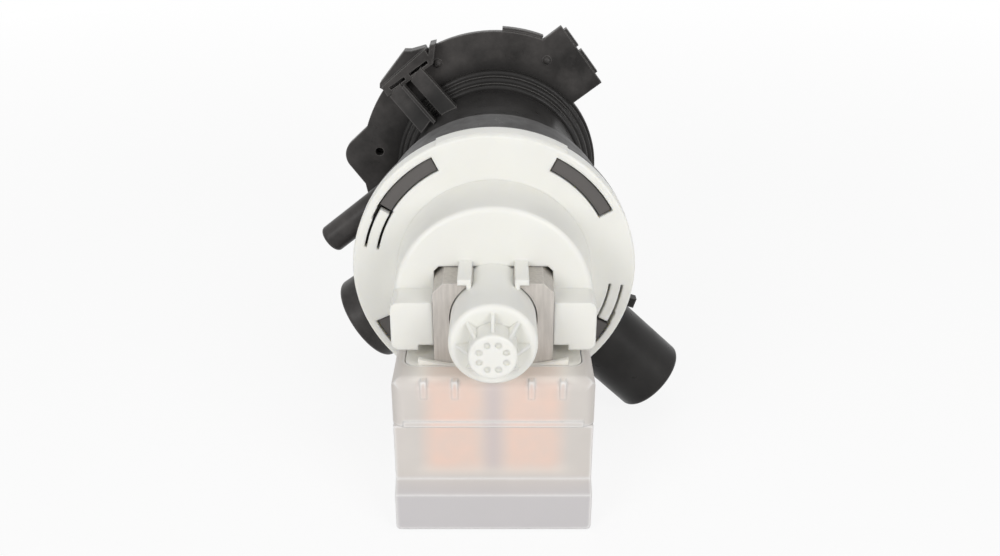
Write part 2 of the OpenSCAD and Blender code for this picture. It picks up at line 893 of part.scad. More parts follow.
// Neck with the collar that passes through the panel and the stepped ribs
module housing_neck() {
    color(housing_color)
        upright()
            difference() {
                neck_outside();
                filter_hollow();
            }
}

// Cable clip, set on the plate, the neck and the filter chamber
module housing_clip() {
    color(housing_color)
        upright()
            difference() {
                cable_clip();
                translate([0, 0, -cut])
                    linear_extrude(plate_t + cut)
                        plate_outline();
                neck_outside();
                disc(body_r, 0, cone_z);
            }
}

// Tube of the filter chamber
module housing_chamber() {
    color(housing_color)
        upright()
            difference() {
                disc(body_r, neck_top, cone_z);
                filter_hollow();
                stub_bores();
            }
}

// Stub that the sump hose sits on
module housing_inlet() {
    color(housing_color)
        upright()
            stub_on_wall()
                radial(inlet_angle, inlet_offset, inlet_z)
                    stub(inlet_r, inlet_reach);
}

// Small nozzle of the emergency drain
module housing_drain() {
    color(housing_color)
        upright()
            stub_on_wall()
                radial(nozzle_angle, nozzle_offset, nozzle_z)
                    stub(nozzle_r, nozzle_reach);
}

// Stub that the drain hose sits on
module housing_outlet() {
    color(housing_color)
        upright()
            stub_on_wall()
                radial(outlet_angle, outlet_offset, outlet_z)
                    stub(outlet_r, outlet_reach);
}

// Wall of the pump chamber with its cone
module housing_volute() {
    color(housing_color)
        upright()
            difference() {
                volute_outside();
                filter_hollow();
                disc(pump_r, chamber_len, seal_floor + cut);
                stub_bores();
            }
}

// Wall with the impeller's eye
module housing_eye() {
    color(housing_color)
        upright()
            ring(pump_r, eye_r, chamber_len, pump_floor);
}

// Ring behind the flange with the seal's bore, the bayonet tongues and the stop lug
module housing_rim() {
    low = rim_back - seat_h;
    color(housing_color)
        upright()
            difference() {
                union() {
                    rim_core();
                    disc(flange_r - touch, low, rim_back);
                    tongues();
                    rotate([0, 0, lug_angle])
                        box([body_r, -lug_w / 2, low], [lug_reach, lug_w / 2, rim_back]);
                }
                disc(seal_bore_r, seal_floor - cut, flange_face);
                stub_bores();
            }
}

// Flange with its rim and sealing spigot
module flange() {
    rotate_extrude()
        edge_profile(flange_r, web_back, flange_face, rim_round);
    ring(flange_r, rim_r_in, rim_back, web_back + touch);
    sector(rim_r_in + touch, flange_r + proud_h, proud_start, proud_span, rim_back, flange_face - rim_round);
    difference() {
        ring(spigot_r, spigot_r - spigot_wall, spigot_end, web_back + touch);
        ring(spigot_r + cut, groove_r, groove_z, groove_z + groove_w);
    }
}

// Bayonet windows and the slits round the latch fingers
module flange_cuts() {
    low = web_back - cut;
    high = flange_face + cut;
    finger_in = window_r_in + slit_w / 2;
    finger_out = finger_in + latch_w;
    for (i = [0 : len(window_starts) - 1])
        sector(window_r_in, window_r_out, window_starts[i], window_sweeps[i], low, high);
    for (i = latch_windows) {
        start = window_starts[i] + window_spans[i] - latch_set;
        sector(finger_in - slit_w, finger_in, start, latch_span, low, high);
        sector(finger_out, finger_out + slit_w, start, latch_span, low, high);
        sector(finger_out, window_r_out - touch, start, slit_wide, low, high);
    }
}

// Side view of the hood, drawn in X and Z from the axis outwards
module hood_profile(r, low, high) {
    polygon([[0, low], [r + hood_draft, low], [r, high], [0, high]]);
}

// Side view of the hood with its rounded front edge
module hood_outside() {
    low = flange_face - touch;
    hood_profile(hood_r, low, hood_face - hood_round);
    translate([0, low])
        square([hood_r - hood_round, hood_face - low]);
    translate([hood_r - hood_round, hood_face - hood_round])
        circle(r = hood_round);
}

// Arch with straight legs, from a side view
module arch(drop) {
    rotate_extrude(angle = 180)
        children();
    plan(0, drop)
        union() {
            children();
            mirror([1, 0])
                children();
        }
}

// One shoulder beside the core, rounded at its outer corners
module shoulder(h) {
    foot_in = hood_r - shoulder_foot_w - touch;
    step = shoulder_step - shoulder_foot;
    foot = -shoulder_foot - cut;
    intersection() {
        linear_extrude(h)
            polygon([[shoulder_in, shoulder_top + cut], [hood_r + cut, shoulder_top + cut],
                [hood_r + cut, foot], [foot_in, foot], [foot_in, step], [shoulder_in, step]]);
        translate([0, 0, -cut])
            linear_extrude(h + 2 * cut)
                round_rect([0, -shoulder_foot], [hood_r, shoulder_top], shoulder_round);
    }
}

// Hood with its shoulders, core seats and hooks
module hood() {
    drop = shoulder_foot - shoulder_step;
    cut_half = core_half + touch;
    cut_top = core_top + touch;
    bevel = core_chamfer / 2;
    difference() {
        arch(drop)
            hood_outside();
        translate([0, -cut, 0])
            arch(drop + cut)
                hood_profile(hood_r - hood_wall - hood_draft, flange_face, hood_face - hood_wall);
        translate([0, 0, flange_face])
            linear_extrude(hood_d + cut)
                polygon([[-cut_half, -can_len], [cut_half, -can_len], [cut_half, cut_top - bevel],
                    [cut_half - bevel, cut_top], [bevel - cut_half, cut_top],
                    [-cut_half, cut_top - bevel]]);
    }
    for (side = [0, 1])
        mirror([side, 0, 0])
            translate([0, 0, flange_face - touch])
                shoulder(shoulder_d + touch);
    twin_box([can_r + 1, -shoulder_top, flange_face - touch], [shoulder_in + 1, shoulder_top, core_back]);
    hooks();
}

// Hooks that hold the core from the front
module hooks() {
    start = can_r / 2;
    low = core_top + touch;
    lip = core_front + touch;
    twin_box([start, low, hood_face - hood_wall], [start + hook_w, low + hook_t, lip + hook_lip]);
    twin_box([start, low - hook_lip, lip], [start + hook_leg, low + touch, lip + hook_lip]);
}

// Rotor can with its ribbed end and hub
module can_outside() {
    hub_end = can_rim_z + hub_len;
    floor_z = can_rim_z - pocket_d;
    pocket_r = can_r - can_rim_w;
    rib_top = hub_end - rim_round * 2;
    difference() {
        rotate_extrude()
            edge_profile(can_r, flange_face - touch, can_rim_z, can_round);
        rotate_extrude()
            polygon([[0, floor_z], [hub_r - spoke_t, floor_z], [pocket_r, can_rim_z],
                [pocket_r, can_rim_z + cut], [0, can_rim_z + cut]]);
    }
    difference() {
        rotate_extrude()
            edge_profile(hub_r, floor_z - touch, hub_end, rim_round);
        for (i = [0 : spoke_count - 1])
            rotate([0, 0, (i + 0.5) * 360 / spoke_count])
                translate([hub_hole_ring, 0, hub_end - hub_hole_d])
                    cylinder(r = hub_hole_r, h = hub_hole_d + cut);
    }
    for (i = [0 : spoke_count - 1])
        rotate([0, 0, i * 360 / spoke_count])
            translate([0, spoke_t / 2, 0])
                rotate([90, 0, 0])
                    linear_extrude(spoke_t)
                        polygon([[hub_r - touch, floor_z - touch], [pocket_r + touch, floor_z - touch],
                            [pocket_r + touch, can_rim_z - rim_round], [hub_r - touch, rib_top]]);
}

// White bracket with flange, hood and rotor can
module motor_bracket() {
    color("#ecece6")
        upright()
            difference() {
                union() {
                    difference() {
                        flange();
                        flange_cuts();
                    }
                    hood();
                    can_outside();
                }
                disc(can_bore_r, rim_back, cavity_end);
                disc(mount_r, cavity_end - cut, rear_end + mount_wall);
            }
}

// O-ring between the bracket's spigot and the housing
module bracket_seal() {
    color("#1c1c1c")
        upright()
            rotate_extrude()
                translate([seal_bore_r - oring_r - oring_gap, groove_z + groove_w / 2])
                    circle(r = oring_r);
}

// Outline of the core's laminations
module lamination() {
    difference() {
        polygon([[-core_half, core_foot], [core_half, core_foot], [core_half, core_top - core_chamfer],
            [core_half - core_chamfer, core_top], [core_chamfer - core_half, core_top],
            [-core_half, core_top - core_chamfer]]);
        circle(r = core_r);
        translate([-leg_in, yoke_top])
            square([2 * leg_in, -yoke_top]);
        for (x = [-leg_x, leg_x])
            translate([x, tab_y])
                circle(r = rivet_r + layer_gap);
    }
}

// Lamination stack of the stator
module stator_core() {
    color("#b8b2ae")
        upright()
            translate([0, 0, core_back])
                linear_extrude(core_t)
                    lamination();
}

// Rivets through the yoke
module core_rivets() {
    head_h = rivet_r / 2;
    color("#9a9794")
        upright()
            for (x = [-leg_x, leg_x])
                translate([x, tab_y, 0]) {
                    disc(rivet_r, core_back - touch, core_front + touch);
                    disc(2 * rivet_r, core_front, core_front + head_h);
                    disc(2 * rivet_r, core_back - head_h, core_back);
                }
}

// Leg of the core in the plan view, widened by a margin
module leg_plan(margin) {
    for (x = [-leg_x, leg_x])
        translate([x - leg_w / 2 - margin, core_back - margin])
            square([leg_w + 2 * margin, core_t + 2 * margin]);
}

// Rib in front of the core, curved under the can
module cradle_rib() {
    low = case_top - cradle_sink;
    translate([0, 0, core_front + former_gap])
        linear_extrude(mouth_room - 2 * former_gap)
            difference() {
                translate([-cradle_half, low - touch])
                    square([2 * cradle_half, can_r]);
                translate([0, low + cradle_r])
                    circle(r = cradle_r);
            }
}

// Twin coil former with its plates, tubes and wire posts
module coil_former() {
    foot_x = leg_x + coil_x + touch;
    foot_z = coil_z + touch;
    color("#efe9da")
        upright() {
            difference() {
                union() {
                    plan(case_top, former_top_t)
                        round_rect([former_gap - mouth_half, mouth_back + former_gap],
                            [mouth_half - former_gap, mouth_front - former_gap], cover_round);
                    plan(case_top - cover_top_t - former_gap, former_top_t - cover_top_t - former_gap)
                        round_rect([former_gap - mouth_half, mouth_back + former_gap],
                            [mouth_half - former_gap, former_front], cover_round);
                    cradle_rib();
                    plan(winding_foot, former_foot_t)
                        round_rect([-foot_x, core_mid - foot_z], [foot_x, core_mid + foot_z], cover_round);
                    plan(winding_top + touch, winding_len + 2 * touch)
                        leg_plan(former_gap + former_wall);
                }
                plan(case_top + cut, case_top - former_foot + 2 * cut)
                    leg_plan(former_gap);
            }
            for (x = [-leg_x, leg_x])
                wire_posts(x);
        }
}

// Posts that the ends of a coil's wire run up to
module wire_posts(x) {
    low_z = core_mid - coil_z;
    high_z = low_z + 2 * wire_r;
    box([x - post_w, wire_top - wire_r, low_z], [x, winding_top + touch, high_z]);
    box([x, winding_foot - touch, low_z], [x + post_w, wire_foot + wire_r, high_z]);
}

// Inner layers of one coil
module winding(x) {
    color("#c9793f")
        upright()
            plan(winding_top, winding_len)
                difference() {
                    round_rect([x - layer_x, core_mid - layer_z],
                        [x + layer_x, core_mid + layer_z], layer_round);
                    translate([x - former_x, core_mid - former_z])
                        square([2 * former_x, 2 * former_z]);
                }
}

module winding_left() {
    winding(-leg_x);
}

module winding_right() {
    winding(leg_x);
}

// Rings along one turn of the outer layer, and sides of its tube
turn_rings = 24;
wire_sides = 6;
corner_rings = turn_rings / 4;
corner_steps = corner_rings - 2;

// Direction outwards at a ring of the outer layer
function wire_angle(i) =
    let (corner = floor(i / corner_rings), step = i % corner_rings)
    step > corner_steps ? 90 * (corner + 1) : 90 * corner + 90 * step / corner_steps;

// Middle of the tube at a ring, in the plan view of its coil
function wire_plan(i) =
    let (
        corner = floor(i / corner_rings) % 4,
        step = i % corner_rings,
        angle = wire_angle(i),
        bend = winding_side - wire_r,
        bend_x = coil_x - winding_side,
        bend_z = coil_z - winding_side,
        side_x = corner == 0 || corner == 3 ? 1 : -1,
        side_z = corner < 2 ? 1 : -1,
        mid_x = corner % 2 == 0 ? 0 : side_x,
        mid_z = corner % 2 == 0 ? side_z : 0
    )
    step > corner_steps
        ? [mid_x * (coil_x - wire_r), mid_z * (coil_z - wire_r)]
        : [side_x * bend_x + bend * cos(angle), side_z * bend_z + bend * sin(angle)];

// The wire starts and ends in the middle of the coil's back
first_ring = 3 * corner_rings - 1;
last_ring = first_ring + wire_turns * turn_rings;

// Middle of the tube at a ring, in the bench frame of its coil
function wire_point(i) =
    let (p = wire_plan(i))
    [p.x, wire_top - wire_pitch * (i - first_ring) / turn_rings, core_mid + p.y];

// Corner of the tube at a ring
function wire_corner(i, side) =
    let (angle = wire_angle(i), around = 360 * side / wire_sides)
    wire_point(i) + wire_r * [cos(around) * cos(angle), sin(around), cos(around) * sin(angle)];

// Least gap between a turn and the next one
turn_gap = min([for (i = [first_ring : last_ring - turn_rings], next = [-1 : 1])
    norm(wire_point(i + turn_rings + next) - wire_point(i)) - 2 * wire_r]);
echo(least_gap_between_turns = turn_gap);

// Outer layer of one coil as one unbroken tube
module winding_wire(x) {
    ring_count = last_ring - first_ring + 1;
    points = [for (i = [first_ring : last_ring], side = [0 : wire_sides - 1]) wire_corner(i, side)];
    walls = [for (i = [0 : ring_count - 2], side = [0 : wire_sides - 1])
        let (a = i * wire_sides, next = (side + 1) % wire_sides)
        each [[a + side, a + next, a + wire_sides + next],
            [a + side, a + wire_sides + next, a + wire_sides + side]]];
    last = (ring_count - 1) * wire_sides;
    caps = [for (side = [1 : wire_sides - 2])
        each [[0, side + 1, side], [last, last + side, last + side + 1]]];
    color("#b8672f")
        upright()
            translate([x, 0, 0])
                polyhedron(points = points, faces = concat(walls, caps));
}

module winding_wire_left() {
    winding_wire(-leg_x);
}

module winding_wire_right() {
    winding_wire(leg_x);
}

// Block of the case's upper half, shrunk by a margin
module cover_block(margin, top) {
    half = case_half - margin;
    low_z = case_back + margin;
    high_z = case_front - margin;
    round_r = cover_round - margin;
    intersection() {
        plan(top, top - case_split)
            round_rect([-half, low_z], [half, high_z], round_r);
        side_view(half)
            round_rect([low_z, case_split - cover_round], [high_z, top], round_r);
        translate([0, 0, low_z])
            linear_extrude(high_z - low_z)
                round_rect([-half, case_split - cover_round], [half, top], round_r);
    }
}

// Upper half of the coil case, open above the coil former
module coil_cover() {
    color([0.86, 0.83, 0.82, 0.6])
        upright()
            difference() {
                union() {
                    cover_block(0, case_top);
                    box([cover_rim - case_half, case_split, case_front - touch],
                        [case_half - cover_rim, case_split + bead_h, case_front + bead_over]);
                    for (x = case_rib_x)
                        twin_box([x - case_rib_w / 2, case_top - case_rib_len, case_front - cover_rim],
                            [x + case_rib_w / 2, case_top - touch, case_front + bead_over / 2]);
                }
                translate([0, -cut, 0])
                    cover_block(case_wall, case_top - cover_top_t + cut);
                plan(case_top + cut, cover_top_t + 2 * cut)
                    round_rect([-mouth_half, mouth_back], [mouth_half, mouth_front], cover_round);
            }
}

// Side view of the coil case's lower half, drawn in Z and Y
module tray_profile(margin, top) {
    low = case_foot + margin;
    back = case_back + cover_over + margin;
    front = tray_front - margin;
    polygon([[back, low], [front + foot_d, low], [front + foot_d, foot_top],
        [front, foot_top + foot_slope], [front, top], [back, top]]);
}

// Block of the case's lower half, shrunk by a margin
module tray_block(margin, top) {
    half = tray_half - margin;
    intersection() {
        side_view(half)
            tray_profile(margin, top);
        translate([0, 0, case_back])
            linear_extrude(foot_front - case_back)
                round_rect([-half, case_foot + margin], [half, case_split + case_round + cut], case_round);
    }
}

// Lower half of the coil case with the terminal socket
module coil_tray() {
    back = case_back + cover_over;
    color([0.84, 0.82, 0.82, 0.6])
        upright() {
            difference() {
                union() {
                    tray_block(0, case_split);
                    box([-socket_x - socket_wall, tab_y - socket_y - socket_wall, back - socket_d],
                        [socket_x + socket_wall, tab_y + socket_y + socket_wall, back + touch]);
                }
                tray_block(case_wall, case_split + cut);
                box([-socket_x, tab_y - socket_y, back - socket_d - cut],
                    [socket_x, tab_y + socket_y, back]);
                twin_box([tab_pitch / 2 - tab_w / 2, tab_y - tab_t / 2, back - cut],
                    [tab_pitch / 2 + tab_w / 2, tab_y + tab_t / 2, back + case_wall + cut]);
            }
        }
}

// Two tab terminals
module terminals() {
    back = case_back + cover_over;
    color("#cfcabb")
        upright()
            twin_box([tab_pitch / 2 - tab_w / 2, tab_y - tab_t / 2, back - tab_len],
                [tab_pitch / 2 + tab_w / 2, tab_y + tab_t / 2, back + case_wall + tab_root]);
}

// Thermal fuse on the floor of the case
module thermal_fuse() {
    fuse_y = case_foot + case_wall + fuse_r + layer_gap;
    color("#d8d4c8")
        upright()
            translate([-fuse_len / 2, fuse_y, foot_front - case_wall - 2 * fuse_r])
                rotate([0, 90, 0])
                    cylinder(r = fuse_r, h = fuse_len);
}

// Magnet of the rotor
module rotor_magnet() {
    color("#3a3a3e")
        upright()
            ring(magnet_r, shaft_r, magnet_back, magnet_front);
}

// Steel shaft of the rotor
module rotor_shaft() {
    color("#c4c4c8")
        upright()
            disc(shaft_r, dog_z, rear_end - end_play);
}

// Driving dog on the shaft's end
module drive_dog() {
    color("#d9d4c4")
        upright() {
            ring(dog_r, shaft_r, dog_z, dog_z + dog_h);
            sector(dog_r - touch, wheel_cavity_r - dog_gap, 0, dog_angle, dog_z, dog_z + dog_h);
        }
}

// Plain bearing at one place on the axis
module bearing(low) {
    color("#b58a4a")
        upright()
            ring(bearing_r, shaft_r + bearing_gap, low, low + bearing_len);
}

module rear_bearing() {
    bearing(cavity_end);
}

module front_bearing() {
    bearing(front_bearing_z);
}

// Rubber cup round the rear bearing
module rear_bearing_mount() {
    color("#242424")
        upright()
            difference() {
                disc(mount_r, cavity_end, rear_end + mount_wall);
                disc(bearing_r, cavity_end - cut, rear_end);
            }
}

// Plug that closes the can and holds the front bearing
module bearing_holder() {
    color("#e4e2da")
        upright()
            difference() {
                union() {
                    disc(holder_r, holder_back, web_back);
                    disc(can_bore_r - holder_gap, holder_back, holder_top);
                }
                disc(bearing_r, front_bearing_z, holder_top + cut);
                disc(shaft_r + end_play, holder_back - cut, holder_top + cut);
                disc(seal_r, holder_back - cut, holder_back + seal_t);
            }
}

// Rubber seal round the shaft
module shaft_seal() {
    color("#1e1e1e")
        upright()
            ring(seal_r, shaft_r + bearing_gap, holder_back, holder_back + seal_t);
}

// Thrust washers at both ends of the magnet
module thrust_washers() {
    color("#8f6f3e")
        upright()
            for (low = [holder_top + end_play, magnet_front + end_play])
                ring(washer_r, shaft_r + bearing_gap, low, low + washer_t);
}

// Impeller with its hub and driven tooth
module impeller() {
    color("#3c3b3a")
        upright() {
            ring(wheel_hub_r, wheel_cavity_r, wheel_cap_z, wheel_back);
            ring(wheel_hub_r, shaft_r + bearing_gap, wheel_floor_z, wheel_back);
            sector(dog_r + dog_gap, wheel_cavity_r + touch, -dog_rest - dog_angle, dog_angle,
                dog_z, wheel_floor_z + touch);
            for (i = [0 : blade_count - 1])
                rotate([0, 0, i * 360 / blade_count])
                    box([wheel_hub_r - touch, -blade_t / 2, wheel_back - blade_h],
                        [impeller_r, blade_t / 2, wheel_back]);
        }
}

// Cap that closes the impeller's hub
module impeller_cap() {
    color("#464544")
        upright()
            disc(wheel_cavity_r, wheel_cap_z, wheel_cap_z + wheel_floor);
}

// Cap and plug of the filter
module filter_cap() {
    color("#d9d9d4")
        upright()
            difference() {
                union() {
                    translate([0, 0, cap_front + cap_back])
                        mirror([0, 0, 1])
                            rotate_extrude()
                                edge_profile(cap_r, cap_front, cap_back, rim_round);
                    disc(plug_r, cap_back - touch, plug_in);
                }
                disc(plug_r - plug_wall, cap_front + cap_t / 2, plug_in - plug_end_t);
                ring(plug_r + cut, plug_r - gasket_d, gasket_z, gasket_z + gasket_t);
            }
}

// Grip across the filter cap
module filter_grip() {
    color("#d2d2cc")
        upright()
            translate([0, 0, cap_front - grip_h])
                linear_extrude(grip_h)
                    round_rect([-grip_len / 2, -grip_w / 2], [grip_len / 2, grip_w / 2], grip_w / 3);
}

// End rings of the basket behind the filter cap
module filter_basket() {
    color(basket_color)
        upright() {
            ring(basket_r, basket_bore_r, plug_in, plug_in + basket_ring_h);
            ring(basket_r, basket_bore_r, basket_end - basket_ring_h, basket_end);
        }
}

// Bars between the basket's rings and the bar across its far ring
module basket_bars() {
    color(basket_color)
        upright() {
            for (i = [0 : bar_count - 1])
                rotate([0, 0, (i + 0.5) * 360 / bar_count])
                    box([basket_bore_r + touch, -bar_t / 2, plug_in + basket_ring_h],
                        [basket_r - touch, bar_t / 2, basket_end - basket_ring_h]);
            intersection() {
                disc(basket_bore_r, basket_end - basket_ring_h, basket_end);
                box([-basket_r, -bar_t / 2, basket_end - basket_ring_h - cut],
                    [basket_r, bar_t / 2, basket_end + cut]);
            }
        }
}

// Rubber gasket in the plug's groove
module cap_gasket() {
    color("#222222")
        upright()
            ring(plug_r + plug_gap / 2, plug_r - gasket_d + gasket_gap,
                gasket_z + gasket_gap, gasket_z + gasket_t - gasket_gap);
}

housing_plate();
housing_neck();
housing_clip();
housing_chamber();
housing_inlet();
housing_drain();
housing_outlet();
housing_volute();
housing_eye();
housing_rim();
motor_bracket();
bracket_seal();
stator_core();
core_rivets();
coil_former();
winding_left();
winding_right();
winding_wire_left();
winding_wire_right();
coil_cover();
coil_tray();
terminals();
thermal_fuse();
rotor_magnet();
rotor_shaft();
drive_dog();
rear_bearing();
front_bearing();
rear_bearing_mount();
bearing_holder();
shaft_seal();
thrust_washers();
impeller();
impeller_cap();
filter_cap();
filter_grip();
filter_basket();
basket_bars();
cap_gasket();
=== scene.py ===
"""Looks of the washer drain pump: camera, studio, materials and the wound coils."""
import json
import math

import bpy
import bmesh
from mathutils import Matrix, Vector


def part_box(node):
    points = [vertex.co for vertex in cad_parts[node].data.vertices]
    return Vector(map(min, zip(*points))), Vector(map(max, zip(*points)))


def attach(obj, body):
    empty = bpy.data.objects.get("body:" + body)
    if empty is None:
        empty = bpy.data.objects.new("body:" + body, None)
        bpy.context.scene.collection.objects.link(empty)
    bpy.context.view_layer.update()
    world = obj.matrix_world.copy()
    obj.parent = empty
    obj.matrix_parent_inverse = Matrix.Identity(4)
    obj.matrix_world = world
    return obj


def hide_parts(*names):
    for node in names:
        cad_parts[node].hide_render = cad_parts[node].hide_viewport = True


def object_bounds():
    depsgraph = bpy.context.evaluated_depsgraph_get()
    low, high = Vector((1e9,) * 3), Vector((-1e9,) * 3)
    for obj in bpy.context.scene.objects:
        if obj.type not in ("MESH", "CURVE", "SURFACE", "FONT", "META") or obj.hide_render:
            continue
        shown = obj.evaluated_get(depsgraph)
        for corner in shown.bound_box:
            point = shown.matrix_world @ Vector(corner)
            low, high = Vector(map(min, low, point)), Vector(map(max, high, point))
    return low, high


MM = 0.001

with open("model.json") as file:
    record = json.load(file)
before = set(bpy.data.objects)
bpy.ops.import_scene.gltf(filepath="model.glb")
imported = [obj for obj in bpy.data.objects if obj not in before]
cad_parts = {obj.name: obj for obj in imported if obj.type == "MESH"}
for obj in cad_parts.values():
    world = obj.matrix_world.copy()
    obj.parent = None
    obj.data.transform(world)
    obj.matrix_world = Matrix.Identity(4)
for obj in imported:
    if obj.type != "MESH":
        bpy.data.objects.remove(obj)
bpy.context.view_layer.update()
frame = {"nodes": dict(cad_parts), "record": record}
nodes = frame["nodes"]
scene = bpy.context.scene
scene.view_settings.view_transform = "Standard"


# Camera at the photo's place, found from the flange, the can and the coil case
CAMERA_PLACE = Vector((1.93, -401.2, 130.66)) * MM
CAMERA_DOWN = 24.62
FOCAL_PIXELS = 997.33
IMAGE_WIDTH = 1000
SENSOR_MM = 36.0
CLIP_NEAR = 0.01
CLIP_FAR = 20


def make_camera():
    data = bpy.data.cameras.new("camera")
    data.sensor_fit = "HORIZONTAL"
    data.sensor_width = SENSOR_MM
    data.lens = SENSOR_MM * FOCAL_PIXELS / IMAGE_WIDTH
    data.clip_start = CLIP_NEAR
    data.clip_end = CLIP_FAR
    camera = bpy.data.objects.new("camera", data)
    camera.location = CAMERA_PLACE
    camera.rotation_euler = (math.radians(90 - CAMERA_DOWN), 0, 0)
    scene.collection.objects.link(camera)
    scene.camera = camera


# Node helpers. Most of a noise's values lie between NOISE_LOW and NOISE_HIGH
NOISE_LOW = 0.3
NOISE_HIGH = 0.7
BEVEL_SAMPLES = 6
EDGE_REACH = 0.12


def feed(tree, node, feeds):
    """Links each named input to a socket, or sets it to a plain value."""
    for key, value in feeds.items():
        if isinstance(value, bpy.types.NodeSocket):
            tree.links.new(value, node.inputs[key])
        else:
            node.inputs[key].default_value = value


def add(tree, kind, feeds=None, **settings):
    """New node with its settings made and its inputs fed."""
    node = tree.nodes.new(kind)
    for key, value in settings.items():
        setattr(node, key, value)
    feed(tree, node, feeds or {})
    return node


def empty_tree(owner):
    """Node tree of a material or world, with nothing in it."""
    owner.use_nodes = True
    owner.node_tree.nodes.clear()
    return owner.node_tree


def new_material(name):
    material = bpy.data.materials.new(name)
    tree = empty_tree(material)
    shader = add(tree, "ShaderNodeBsdfPrincipled")
    add(tree, "ShaderNodeOutputMaterial", {"Surface": shader.outputs[0]})
    return material, tree, shader


def calc(tree, operation, *values):
    """Math on sockets and plain numbers."""
    return add(tree, "ShaderNodeMath", dict(enumerate(values)), operation=operation).outputs[0]


def product(tree, first, *others):
    for other in others:
        first = calc(tree, "MULTIPLY", first, other)
    return first


def coordinates(tree):
    """Place on the piece, in metres."""
    return add(tree, "ShaderNodeTexCoord").outputs["Object"]


def axes(tree, vector):
    """X, Y and Z of a vector."""
    return add(tree, "ShaderNodeSeparateXYZ", {0: vector}).outputs


def length(tree, vector):
    return add(tree, "ShaderNodeVectorMath", {0: vector}, operation="LENGTH").outputs["Value"]


def noise(tree, scale, detail, roughness=0.55):
    feeds = {"Vector": coordinates(tree), "Scale": scale, "Detail": detail, "Roughness": roughness}
    return add(tree, "ShaderNodeTexNoise", feeds).outputs["Fac"]


def remap(tree, value, low, high, from_low=NOISE_LOW, from_high=NOISE_HIGH, **settings):
    feeds = {"Value": value, "From Min": from_low, "From Max": from_high,
             "To Min": low, "To Max": high}
    return add(tree, "ShaderNodeMapRange", feeds, **settings).outputs["Result"]


def near_middle(tree, value, middle, half, soft):
    """One inside half of a middle value, falling to nothing over a soft edge."""
    away = calc(tree, "ABSOLUTE", calc(tree, "SUBTRACT", value, middle))
    return remap(tree, away, 1, 0, half - soft, half + soft, interpolation_type="SMOOTHSTEP")


def two_tone(tree, value, dark, light):
    ramp = add(tree, "ShaderNodeValToRGB", {"Fac": value})
    first, last = ramp.color_ramp.elements
    first.position = NOISE_LOW
    first.color = (*dark, 1)
    last.position = NOISE_HIGH
    last.color = (*light, 1)
    return ramp.outputs["Color"]


def blend(tree, share, first, second):
    """Mixes a colour socket with a plain colour or another socket by a share."""
    if isinstance(second, tuple):
        second = (*second, 1)
    feeds = {"Factor": share, "A": first, "B": second}
    return add(tree, "ShaderNodeMix", feeds, data_type="RGBA").outputs["Result"]


def soft_edges(tree, radius):
    bevel = add(tree, "ShaderNodeBevel", {"Radius": radius}, samples=BEVEL_SAMPLES)
    return bevel.outputs["Normal"]


def edge_mask(tree, radius, share):
    """A share on sharp edges and nothing on open faces."""
    flat = add(tree, "ShaderNodeNewGeometry").outputs["Normal"]
    feeds = {0: soft_edges(tree, radius), 1: flat}
    match = add(tree, "ShaderNodeVectorMath", feeds, operation="DOT_PRODUCT").outputs["Value"]
    return product(tree, remap(tree, match, 1, 0, 1 - EDGE_REACH, 1), share)


def relief(tree, height, strength, depth, edge):
    """Normal with a fine relief and with edges softened to a radius."""
    feeds = {"Height": height, "Strength": strength, "Distance": depth,
             "Normal": soft_edges(tree, edge)}
    return add(tree, "ShaderNodeBump", feeds).outputs["Normal"]


# Moulded plastic: scale and detail of the noises for tone, gloss and grain
TONE_NOISE = (45, 4)
GLOSS_NOISE = (160, 5)
GRAIN_NOISE = (2600, 2)
GRAIN_DEPTH = 0.06 * MM
GLOW_WEIGHT = 0.4
GLOW_TINT = (1, 0.95, 0.8)


def moulded(name, dark, light, rough, grain=0.08, edge=0.5, depth=0.0):
    """Moulded plastic: slow change of tone, uneven gloss, fine grain and softened edges."""
    material, tree, shader = new_material(name)
    feed(tree, shader, {
        "Base Color": two_tone(tree, noise(tree, *TONE_NOISE), dark, light),
        "Roughness": remap(tree, noise(tree, *GLOSS_NOISE), *rough),
        "Normal": relief(tree, noise(tree, *GRAIN_NOISE), grain, GRAIN_DEPTH, edge * MM),
    })
    if depth > 0:
        feed(tree, shader, {
            "Subsurface Weight": GLOW_WEIGHT,
            "Subsurface Radius": GLOW_TINT,
            "Subsurface Scale": depth * MM,
        })
    return material


# Black housing. A range with four values maps its last two to its first two
HOUSING_SPECULAR = 0.16
BLOOM_TONE = (0.11, 0.102, 0.098)
BLOOM_NOISE = (38, 6, 0.62)
BLOOM_SHARE = (0.08, 1.0, 0.39, 0.75)
# The neck and the volute get little of the bloom: painted shade that keeps them darker than the
# rest
NECK_PAINTED_SHADE = (0.05, 1.0, 40 * MM, 45 * MM)
VOLUTE_PAINTED_SHADE = (0.05, 1.0, -79 * MM, -72 * MM)
# Paler edges: a painted highlight along every edge of the housing
EDGE_HIGHLIGHT_TONE = (0.17, 0.163, 0.157)
EDGE_HIGHLIGHT = (0.8 * MM, 0.6)
# Bayonet tongues, seen in the flange's windows, are rubbed pale by the bracket
TONGUE_TONE = (0.122, 0.115, 0.111)
TONGUE_RUBBED = (1, 0, -108.8 * MM, -108.2 * MM)
TONGUE_DULL = 0.2


def bloom_share_painted_shade(tree):
    """Share of the dust bloom by place: less on the neck, the volute and the outlet, a painted
    shade that keeps them darker.
    """
    x, y, z = axes(tree, coordinates(tree))
    across = add(tree, "ShaderNodeCombineXYZ", {"X": x, "Z": z}).outputs[0]
    by_radius = remap(tree, length(tree, across), *NECK_PAINTED_SHADE)
    return product(tree, by_radius, remap(tree, y, *VOLUTE_PAINTED_SHADE))


